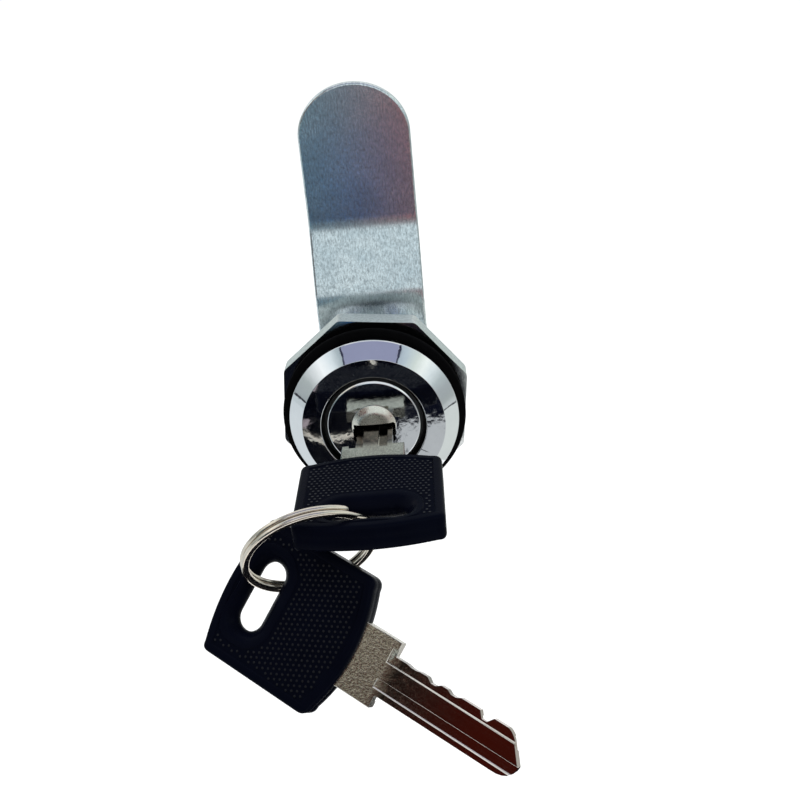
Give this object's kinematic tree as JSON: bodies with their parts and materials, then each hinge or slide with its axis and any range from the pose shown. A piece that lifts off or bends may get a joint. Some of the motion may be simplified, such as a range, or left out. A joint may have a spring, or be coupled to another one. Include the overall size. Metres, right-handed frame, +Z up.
{
  "type": "cam lock",
  "caption": "Chromed cabinet cam lock with a long cranked cam, a key in the lock and a spare key on a split ring.",
  "frame": {"origin": "centre of the panel seat, where the gasket's back face meets the lock's axis", "axes": "+Y runs along the lock's axis into the cabinet, -Y faces the person with the key, +Z is up and the way the cam points when locked, +X is to the right seen from the front"},
  "size_m": [0.0436, 0.0843, 0.0787],
  "materials": {
    "chrome": "polished",
    "rubber": "matte",
    "zinc_plate": "zinc-plated, satin",
    "brass": "stamped",
    "spring_steel": "drawn wire",
    "nickel_plate": "nickel-plated brass",
    "ring_nickel": "nickel-plated spring steel",
    "black_plastic": "moulded, textured faces and glossy edges"
  },
  "bodies": {
    "housing": {"housing": "chrome", "gasket": "rubber"},
    "nut": {"mounting_nut": "zinc_plate"},
    "plug": {"plug": "chrome", "wafer_spring_1": "spring_steel", "wafer_spring_2": "spring_steel", "wafer_spring_3": "spring_steel", "wafer_spring_4": "spring_steel", "wafer_spring_5": "spring_steel", "stop_washer": "zinc_plate", "cam": "zinc_plate", "lock_washer": "zinc_plate", "cam_screw": "zinc_plate"},
    "wafer_1": {"wafer_1": "brass"},
    "wafer_2": {"wafer_2": "brass"},
    "wafer_3": {"wafer_3": "brass"},
    "wafer_4": {"wafer_4": "brass"},
    "wafer_5": {"wafer_5": "brass"},
    "key": {"key_blade": "nickel_plate", "key_bow": "black_plastic"},
    "ring": {"split_ring": "ring_nickel"},
    "spare_key": {"spare_key_blade": "nickel_plate", "spare_key_bow": "black_plastic"}
  },
  "joints": [
    {"name": "plug_turn", "type": "hinge", "parent": "housing", "child": "plug", "pos_m": [0, 0, 0], "axis": [0, 1, 0], "range_deg": [0, 90]},
    {"name": "nut_turn", "type": "hinge", "parent": "housing", "child": "nut", "pos_m": [0, 0.00425, 0], "axis": [0, 1, 0], "continuous": true},
    {"name": "key_slide", "type": "slide", "parent": "plug", "child": "key", "axis": [0, 1, 0], "range_m": [-0.03, 0]},
    {"name": "wafer_1_slide", "type": "slide", "parent": "plug", "child": "wafer_1", "axis": [1, 0, 0], "range_m": [0, 0.0007], "deforming": ["wafer_spring_1"]},
    {"name": "wafer_2_slide", "type": "slide", "parent": "plug", "child": "wafer_2", "axis": [1, 0, 0], "range_m": [0, 0.0007], "deforming": ["wafer_spring_2"]},
    {"name": "wafer_3_slide", "type": "slide", "parent": "plug", "child": "wafer_3", "axis": [1, 0, 0], "range_m": [0, 0.0007], "deforming": ["wafer_spring_3"]},
    {"name": "wafer_4_slide", "type": "slide", "parent": "plug", "child": "wafer_4", "axis": [1, 0, 0], "range_m": [0, 0.0007], "deforming": ["wafer_spring_4"]},
    {"name": "wafer_5_slide", "type": "slide", "parent": "plug", "child": "wafer_5", "axis": [1, 0, 0], "range_m": [0, 0.0007], "deforming": ["wafer_spring_5"]},
    {"name": "ring_swing", "type": "hinge", "parent": "key", "child": "ring", "pos_m": [0, -0.0339, -0.0011], "axis": [1, 0, 0], "range_deg": [-30, 5]},
    {"name": "spare_key_swing", "type": "hinge", "parent": "ring", "child": "spare_key", "pos_m": [-0.01605, -0.0328, -0.0112], "axis": [-0.6063, -0.5234, 0.5987], "range_deg": [-60, 10]}
  ],
  "couplings": [
    {"joint": "wafer_1_slide", "follows": "key_slide", "ratio": -0.023333},
    {"joint": "wafer_2_slide", "follows": "key_slide", "ratio": -0.023333},
    {"joint": "wafer_3_slide", "follows": "key_slide", "ratio": -0.023333},
    {"joint": "wafer_4_slide", "follows": "key_slide", "ratio": -0.023333},
    {"joint": "wafer_5_slide", "follows": "key_slide", "ratio": -0.023333}
  ]
}
